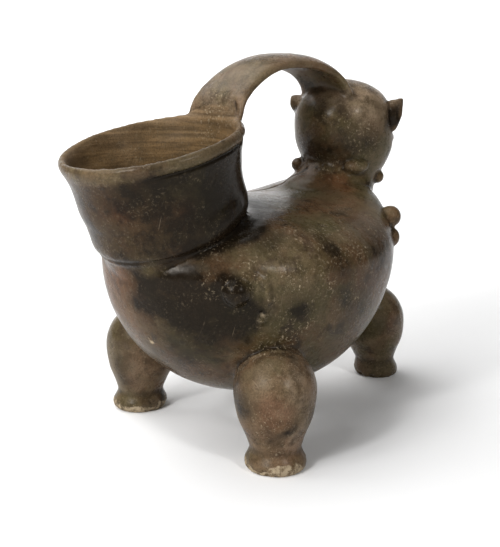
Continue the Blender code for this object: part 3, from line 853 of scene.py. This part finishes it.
class Painter:
    """What is read at each point before paint is laid: the place, the cup's view of it, legs and shell."""

    def __init__(self, skin):
        self.skin = skin
        self.points = skin.points
        self.outward = skin.outward
        self.ragged = self.points + 0.005 * self.waver(0.012, 20)
        self.ragged += 0.0016 * self.waver(0.004, 24)
        self.height = self.points[:, 2] * 1000
        self.depth, self.radius, self.around, self.facing = cup_view(self.points, self.outward)
        self.leg = self.leg_share()
        self.shell = ramp(-self.facing, -0.2, 0.2) * ramp(self.radius, 36, 40) * (self.radius < 56)
        self.shell *= ramp(self.depth, 4, 9) * ramp(54 - self.depth, 0, 4)

    def waver(self, size, shift):
        """A small move for each point, so that what is laid by place gets a ragged edge."""
        return np.stack([lumps(self.points, size, shift + axis) for axis in range(3)], 1)

    def from_foot(self, x, y):
        return np.hypot(self.points[:, 0] * 1000 - x, self.points[:, 1] * 1000 - y)

    def leg_share(self):
        leg = np.zeros(len(self.points))
        for x, y in FEET:
            leg = np.maximum(leg, ramp(24.5 - self.from_foot(x * 0.96, y * 0.98), 0, 3))
        return leg * ramp(0.064 - self.points[:, 2], 0, 0.006)

    def soot_and_shade(self):
        """The dark clouds of the firing, painted shade low on the body and on the cup's side turned towards
        the picture's right, and the cup's outer wall darker all round.
        """
        # Painted shade: the body darker towards the bottom, away from the legs.
        lower_shade = (1 - self.leg) * ramp(0.085 - self.points[:, 2], 0, 0.03)
        soot_and_shade = spotted(self.ragged, SOOT_SPOTS)
        soot_and_shade += 1.1 * near_line(self.ragged, RUMP_SOOT, 12.0) + 0.55 * near_line(self.ragged, NECK_SOOT, 11)
        # Random dark lumps, painted shade low on the body, and the cup's outer wall darker all round.
        soot_and_shade += 0.3 * ramp(lumps(self.points, 0.035, 30), 0.1, 0.8) + 0.20 * lower_shade + 0.56 * self.shell
        # Painted shade on the cup's side turned towards the picture's right, away from the key lamp.
        soot_and_shade += 0.34 * self.shell * ramp(self.around, -150, -110) * ramp(-self.around, 60, 95)
        return soot_and_shade + 0.07

    def warm(self):
        """The red patches, mostly on the rump and on the cup's rear."""
        warm = spotted(self.ragged, WARM_SPOTS)
        warm += 0.40 * self.shell * ramp(self.around, -40, 0) * ramp(-self.around, -110, -60)
        warm += 0.3 * self.shell * near(self.ragged, CUP_BLUSH, 20)
        return warm + 0.3 * ramp(lumps(self.points, 0.028, 31), 0.2, 0.9)

    def wear_and_top_light(self):
        """Paler clay where hands and stands have rubbed it, and painted light on the strap's upward face."""
        lip = bulge(self.depth, 1.5, 4.5) * ramp(self.radius, 38, 42) * (self.radius < 52)
        x, y, z = self.points.T
        strap = ramp(z, 0.172, 0.182) * ramp(y, -0.062, -0.045) * (y < 0.045)
        head = ramp(z, 0.150, 0.166) * ramp(-y, 0.045, 0.056)
        # The strap is paler only where it faces up: partly wear, partly painted light from above.
        wear_and_top_light = 0.22 * lip + 0.40 * strap * ramp(self.outward[:, 2], -0.3, 0.3)
        wear_and_top_light += self.leg * (0.26 + 0.2 * lumps(self.points, 0.010, 35)) + 0.30 * head
        return wear_and_top_light + spotted(self.ragged, WORN_SPOTS)

    def crust(self):
        """Pale earth on scars, on the flank and on the soles."""
        crust = spotted(self.ragged, CRUST_SPOTS)
        crust += 0.8 * near_line(self.ragged, HAUNCH_SCAR, 3.4)
        crust += 0.5 * near_line(self.ragged, BULB_CREASE, 3.0)
        crust = np.clip(crust + 0.10 + near(self.points, RUMP_CHIP, 1.6), 0, 0.55)
        crust += 0.30 * near_line(self.ragged, HAUNCH_SCAR, 2.6) + 2.0 * near(self.points, RUMP_CHIP, 1.7)
        band = 5.6 + 3.4 * lumps(self.points, 0.008, 33) + 1.6 * lumps(self.points, 0.0026, 34)
        for (x, y), weight in zip(FEET, SOLE_CRUST):
            crust += weight * (self.from_foot(x, y) < 20) * ramp(band - self.height, 0, 3.0)
        return crust

    def bore(self):
        """The inside of the cup."""
        return ramp(self.facing, 0.0, 0.4) * (self.radius < 46) * (self.depth > -6) * (self.depth < 70)

    def hollow(self):
        """Painted shade in creases, corners and pits, along the spine and the strap's crack and under the
        lip's bead, over zero, and edges under it.
        """
        hollow = self.skin.hollowness() / 0.0001
        for _ in range(4):
            hollow = 0.5 * hollow + 0.5 * self.skin.around(hollow)
        hollow += 1.4 * near_line(self.points, SPINE, 0.9) + 0.9 * near(self.points, HAUNCH_PIT, 2.0)
        hollow += 0.8 * near_line(self.points, STRAP_CRACK, 0.8)
        # A painted shadow line under the lip's bead, where lip_shade is one.
        return hollow + 0.6 * self.shell * lip_shade(self.around) * bulge(self.depth, 7.4, 1.0)


def lay_paint(vessel):
    """Stores clouds and painted shade, warm patches, wear and painted light on the strap, crust, the cup's
    inside, painted shade in hollows, and edges at the points.
    """
    painter = Painter(Skin(vessel.data))
    # The hollow layer is painted shade in creases; the ridge layer, made from it, is paler on convex edges.
    hollow = painter.hollow()
    layers = {"soot_and_shade": painter.soot_and_shade(), "warm": painter.warm(), "wear_and_top_light": painter.wear_and_top_light(),
              "crust": painter.crust(), "bore": painter.bore(), "hollow": hollow,
              "ridge": -hollow * 1.2 - 0.1}
    for name, values in layers.items():
        layer = vessel.data.attributes.new(name, "FLOAT", "POINT")
        layer.data.foreach_set("value", np.clip(values, 0, 1).astype(np.float32))


class Glaze:
    """A short way to lay out a material's nodes."""

    def __init__(self, name):
        self.material = bpy.data.materials.new(name)
        self.material.use_nodes = True
        self.tree = self.material.node_tree
        self.shader = self.tree.nodes["Principled BSDF"]
        self.place = self.add("ShaderNodeTexCoord").outputs["Object"]

    def add(self, kind, sockets=None, **settings):
        item = self.tree.nodes.new(kind)
        for name, value in settings.items():
            setattr(item, name, value)
        for key, value in (sockets or {}).items():
            self.feed(item.inputs[key], value)
        return item

    def feed(self, socket, value):
        if isinstance(value, bpy.types.NodeSocket):
            self.tree.links.new(value, socket)
        else:
            socket.default_value = value

    def look(self, name, value):
        self.feed(self.shader.inputs[name], value)

    def layer(self, name):
        """What the painter stored under a name."""
        return self.add("ShaderNodeAttribute", attribute_name=name).outputs["Fac"]

    def math(self, operation, first, second, clamp=False):
        item = self.add("ShaderNodeMath", {0: first, 1: second}, operation=operation, use_clamp=clamp)
        return item.outputs[0]

    def times(self, first, second, clamp=False):
        return self.math("MULTIPLY", first, second, clamp)

    def plus(self, first, second, clamp=False):
        return self.math("ADD", first, second, clamp)

    def band(self, value, low, high, start=0.0, end=1.0):
        """A smooth run from a start to an end while a value goes from low to high."""
        sockets = {"Value": value, "From Min": low, "From Max": high, "To Min": start, "To Max": end}
        return self.add("ShaderNodeMapRange", sockets, interpolation_type="SMOOTHSTEP").outputs["Result"]

    def stretched(self, turn, scale):
        """Places that are turned and drawn out, for strokes."""
        sockets = {"Vector": self.place, "Rotation": [radians(angle) for angle in turn], "Scale": scale}
        return self.add("ShaderNodeMapping", sockets).outputs["Vector"]

    def noise(self, scale, detail, roughness=0.55, place=None):
        sockets = {"Vector": place or self.place, "Scale": scale, "Detail": detail, "Roughness": roughness}
        return self.add("ShaderNodeTexNoise", sockets).outputs["Fac"]

    def mix(self, share, first, second, blend="MIX"):
        item = self.add("ShaderNodeMix", {"Factor": share}, data_type="RGBA", blend_type=blend)
        self.feed(item.inputs[6], first)
        self.feed(item.inputs[7], second)
        return item.outputs[2]


# Tones of the clay
OLIVE_CLAY = (0.068, 0.055, 0.024, 1)
BROWN_CLAY = (0.098, 0.055, 0.027, 1)
PALE_CLAY = (0.165, 0.118, 0.062, 1)
DARK_CLAY = (0.022, 0.015, 0.008, 1)
RED_CLAY = (0.112, 0.046, 0.020, 1)
CUP_CLAY = (0.165, 0.102, 0.046, 1)
# Pale tones of wear, also used as painted light on the strap's top
WORN_AND_LIT_CLAY = (0.165, 0.115, 0.074, 1)
RUBBED_AND_LIT_CLAY = (0.270, 0.198, 0.134, 1)
MOTTLED_CLAY = (0.210, 0.155, 0.092, 1)
EDGE_CLAY = (0.210, 0.150, 0.090, 1)
GRAIN_CLAY = (0.010, 0.007, 0.004, 1)
# Near black of the soot clouds and of painted shade
SOOT_AND_SHADE_BLACK = (0.0052, 0.0035, 0.0021, 1)
# Painted shade for creases, pits and the line under the lip's bead
CREASE_SHADE = (0.0070, 0.0048, 0.0028, 1)
DULL_EARTH = (0.200, 0.150, 0.090, 1)
PALE_EARTH = (0.400, 0.320, 0.215, 1)
SCRATCH_TONE = (0.240, 0.180, 0.120, 1)
WHITE = (1.0, 1.0, 1.0, 1.0)

# The shine of the burnished clay
CLAY_IOR = 1.45
SHINE_LEVEL = 0.14
SHINE_TINT = (1.0, 0.93, 0.84, 1.0)
BUMP_STRENGTH = 0.5
BUMP_DEPTH = 0.0006


def clay_material():
    """Burnished clay: fired tones in patches, then clouds with painted shade, painted shade in creases,
    earth, and last scratches.
    """
    clay = Glaze("burnished_clay")
    mix, band, times, plus, noise = clay.mix, clay.band, clay.times, clay.plus, clay.noise
    soot_and_shade, warm, wear_and_top_light, crust, bore, hollow, ridge = (
        clay.layer(name) for name in ("soot_and_shade", "warm", "wear_and_top_light", "crust", "bore", "hollow", "ridge"))
    broad = noise(24, 4, 0.6)
    patches = noise(58, 6, 0.64)
    blots = noise(150, 5, 0.62)
    mottle = noise(330, 5, 0.70)
    grain = noise(1300, 3, 0.7)
    strokes = noise(1, 3, 0.6, clay.stretched((0, 0, 0), (24, 24, 420)))
    slants = noise(1, 2, 0.5, clay.stretched((20, 35, 10), (26, 900, 34)))

    colour = mix(band(broad, 0.42, 0.58), OLIVE_CLAY, BROWN_CLAY)
    colour = mix(band(patches, 0.50, 0.64, 0, 0.75), colour, PALE_CLAY)
    colour = mix(band(patches, 0.48, 0.35, 0, 0.95), colour, DARK_CLAY)
    ruddy = times(warm, band(patches, 0.36, 0.60, 0.55, 1))
    colour = mix(ruddy, colour, RED_CLAY)
    inner = times(bore, band(patches, 0.35, 0.62, 1, 0.8))
    colour = mix(inner, colour, CUP_CLAY)
    # Wear, and painted light on the strap's top, make the clay paler.
    worn = times(wear_and_top_light, band(patches, 0.34, 0.60, 1, 0.7))
    colour = mix(worn, colour, mix(band(blots, 0.34, 0.66), WORN_AND_LIT_CLAY, RUBBED_AND_LIT_CLAY))
    shade = mix(times(bore, 0.6), band(blots, 0.32, 0.66, 0.66, 1.26), WHITE)
    colour = mix(1, colour, shade, "MULTIPLY")
    streaked = mix(1, colour, band(strokes, 0.35, 0.65, 0.70, 1.25), "MULTIPLY")
    colour = mix(bore, colour, streaked)
    colour = mix(band(mottle, 0.55, 0.70, 0, 0.45), colour, MOTTLED_CLAY)
    colour = mix(times(ridge, 0.22), colour, EDGE_CLAY)
    colour = mix(band(grain, 0.44, 0.64, 0, 0.35), colour, GRAIN_CLAY)
    # Soot clouds and painted shade, given ragged edges, turn the clay near black.
    edge = plus(soot_and_shade, band(blots, 0.3, 0.7, -0.20, 0.20))
    edge = plus(edge, band(patches, 0.3, 0.7, -0.24, 0.24))
    soot_and_shade_cover = band(edge, 0.05, 1.05, 0, 0.95)
    colour = mix(soot_and_shade_cover, colour, SOOT_AND_SHADE_BLACK)
    # Painted shade in creases, pits, the strap's crack and under the lip's bead.
    colour = mix(times(hollow, 0.9, True), colour, CREASE_SHADE)
    flakes = band(noise(760, 4, 0.75), 0.57, 0.62)
    clumps = band(noise(90, 5, 0.65), 0.42, 0.62, 0.08, 1)
    flecks = times(flakes, clumps)
    dusty = times(band(crust, 0, 0.5, 0.16, 1), flecks)
    dusty = times(dusty, clay.math("SUBTRACT", 1, times(soot_and_shade_cover, 0.65)))
    caked = times(band(crust, 0.55, 0.95), band(mottle, 0.40, 0.52, 0.15, 1))
    crusted = clay.math("MAXIMUM", dusty, caked, True)
    colour = mix(crusted, colour, mix(band(mottle, 0.35, 0.65), DULL_EARTH, PALE_EARTH))
    scratch = times(band(slants, 0.70, 0.74), band(patches, 0.50, 0.60))
    colour = mix(times(scratch, 0.35), colour, SCRATCH_TONE)
    clay.look("Base Color", colour)

    rough = band(patches, 0.36, 0.64, 0.22, 0.32)
    rough = plus(rough, band(mottle, 0.3, 0.7, -0.03, 0.07))
    rough = plus(rough, times(crusted, 0.45))
    rough = clay.math("SUBTRACT", rough, times(soot_and_shade_cover, 0.06))
    rough = plus(rough, times(bore, 0.20), True)
    clay.look("Roughness", rough)
    clay.look("IOR", CLAY_IOR)
    clay.look("Specular IOR Level", SHINE_LEVEL)
    clay.look("Specular Tint", SHINE_TINT)

    dents = noise(110, 2, 0.5)
    height = times(strokes, 0.10)
    height = plus(height, times(dents, 1.1))
    height = plus(height, times(noise(330, 1.5, 0.5), 0.16))
    height = clay.math("SUBTRACT", height, times(scratch, 0.25))
    height = plus(height, times(crusted, 0.4))
    sockets = {"Strength": BUMP_STRENGTH, "Distance": BUMP_DEPTH, "Height": height}
    bump = clay.add("ShaderNodeBump", sockets)
    clay.look("Normal", bump.outputs["Normal"])
    return clay.material


DULL_PAPER = (0.90, 0.90, 0.90, 1)
WHITE_PAPER = (0.93, 0.93, 0.93, 1)


def floor_material():
    paper = Glaze("pale_paper")
    tone = paper.band(paper.noise(3.0, 2.0), 0.3, 0.7)
    paper.look("Base Color", paper.mix(tone, DULL_PAPER, WHITE_PAPER))
    fibre = paper.noise(600.0, 4.0)
    paper.look("Roughness", paper.band(fibre, 0.2, 0.8, 0.75, 0.9))
    bump = paper.add("ShaderNodeBump", {"Strength": 0.05, "Distance": 0.0003, "Height": fibre})
    paper.look("Normal", bump.outputs["Normal"])
    return paper.material


# Where the camera stands: the turn round the vessel, the height over the level, and its target
VIEW_TURN = 227.4
VIEW_RISE = 13.7
VIEW_TARGET = (0, 0.0038 - MIDDLE_Y, 0.0854)
VIEW_DISTANCE = 0.540
FOCAL_PIXELS = 960.0
PICTURE_HEIGHT = 547
SENSOR = 36.0
FAR_END = 20.0

# The sheet of paper: how far it comes forward and runs back, each step of its bend, its rise and its width
PAPER_FRONT = 1.2
PAPER_RUN = 1.9
PAPER_STEP = 0.094
PAPER_RISE = 1.4
PAPER_WIDTH = 3.2

# Lamps: to the picture's right of the vessel, towards the camera, up, both widths in metres, and watts
LAMPS = {"overhead": (-0.50, -0.20, 1.15, 1.2, 1.2, 15.0),
         "left": (-0.75, 0.82, 0.84, 0.70, 0.60, 9.5),
         "left_spark": (-0.80, 1.00, 0.78, 0.16, 0.20, 6.6),
         "right_spark": (0.72, 0.95, 0.74, 0.16, 0.20, 5.0)}
BACKDROP_LAMP = (0.0, -0.74, 0.60, 2.0, 0.25, 4.8)
LAMP_TARGET = (0, 0, 0.09)
BACKDROP_REACH = -1.2
BACKDROP_HEIGHT = 0.1
DAYLIGHT = 0.06


def aim(item, place, target):
    item.location = place
    item.rotation_euler = (Vector(place) - Vector(target)).to_track_quat("Z", "Y").to_euler()


def view_axes():
    """The picture's right and the way back to the camera."""
    turn, rise = radians(VIEW_TURN), radians(VIEW_RISE)
    back = Vector((sin(turn) * cos(rise), -cos(turn) * cos(rise), sin(rise)))
    right = Vector((cos(turn), sin(turn), 0))
    return right, back


def set_camera():
    camera = placed("view", bpy.data.cameras.new("view"))
    camera.data.sensor_width = SENSOR
    camera.data.lens = FOCAL_PIXELS * SENSOR / PICTURE_HEIGHT
    camera.data.clip_end = FAR_END
    aim(camera, Vector(VIEW_TARGET) + view_axes()[1] * VIEW_DISTANCE, VIEW_TARGET)
    bpy.context.scene.camera = camera


def level_back():
    """The way back to the camera, along the ground."""
    back = view_axes()[1]
    return Vector((back.x, back.y, 0)).normalized()


def soft_box(name, settings, target):
    """A rectangular lamp, placed from the vessel to the picture's right, towards the camera and up."""
    right, back, up, width, depth, power = settings
    lamp = placed(name, bpy.data.lights.new(name, "AREA"))
    lamp.data.shape = "RECTANGLE"
    lamp.data.size = width
    lamp.data.size_y = depth
    lamp.data.energy = power
    aim(lamp, view_axes()[0] * right + level_back() * back + Vector((0, 0, up)), target)


def set_floor():
    """A sheet of pale paper that lies under the vessel and rises behind it."""
    maker = bmesh.new()
    place = Vector((0, PAPER_FRONT, 0))
    edge_points = [maker.verts.new(place)]
    bend = [(0, -PAPER_STEP * cos(radians(angle)), PAPER_STEP * sin(radians(angle)))
            for angle in range(5, 90, 9)]
    for step in [(0, -PAPER_RUN, 0)] + bend + [(0, 0, PAPER_RISE)]:
        place = place + Vector(step)
        edge_points.append(maker.verts.new(place))
    for first, second in zip(edge_points, edge_points[1:]):
        maker.edges.new((first, second))
    grown = bmesh.ops.extrude_edge_only(maker, edges=list(maker.edges))["geom"]
    side = [part for part in grown if isinstance(part, bmesh.types.BMVert)]
    bmesh.ops.translate(maker, verts=side, vec=(PAPER_WIDTH, 0, 0))
    bmesh.ops.translate(maker, verts=list(maker.verts), vec=(-PAPER_WIDTH / 2, 0, 0))
    bmesh.ops.rotate(maker, verts=list(maker.verts), cent=(0, 0, 0),
                     matrix=Matrix.Rotation(radians(VIEW_TURN - 180), 3, "Z"))
    floor = clay_object("floor", maker)
    floor.data.shade_smooth()
    floor.data.materials.append(floor_material())


def set_light():
    """The lamps, one of which lights the paper behind, and a little daylight."""
    for name, settings in LAMPS.items():
        soft_box(name, settings, LAMP_TARGET)
    soft_box("backdrop", BACKDROP_LAMP, level_back() * BACKDROP_REACH + Vector((0, 0, BACKDROP_HEIGHT)))
    world = bpy.data.worlds.new("studio")
    world.use_nodes = True
    world.node_tree.nodes["Background"].inputs["Color"].default_value = WHITE
    world.node_tree.nodes["Background"].inputs["Strength"].default_value = DAYLIGHT
    bpy.context.scene.world = world
    bpy.context.scene.view_settings.view_transform = "Standard"


set_camera()
vessel = build_skin()
lay_paint(vessel)
vessel.data.materials.clear()
vessel.data.materials.append(clay_material())
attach(vessel, "root")
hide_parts("upper_vessel", "lower_vessel")
set_floor()
set_light()
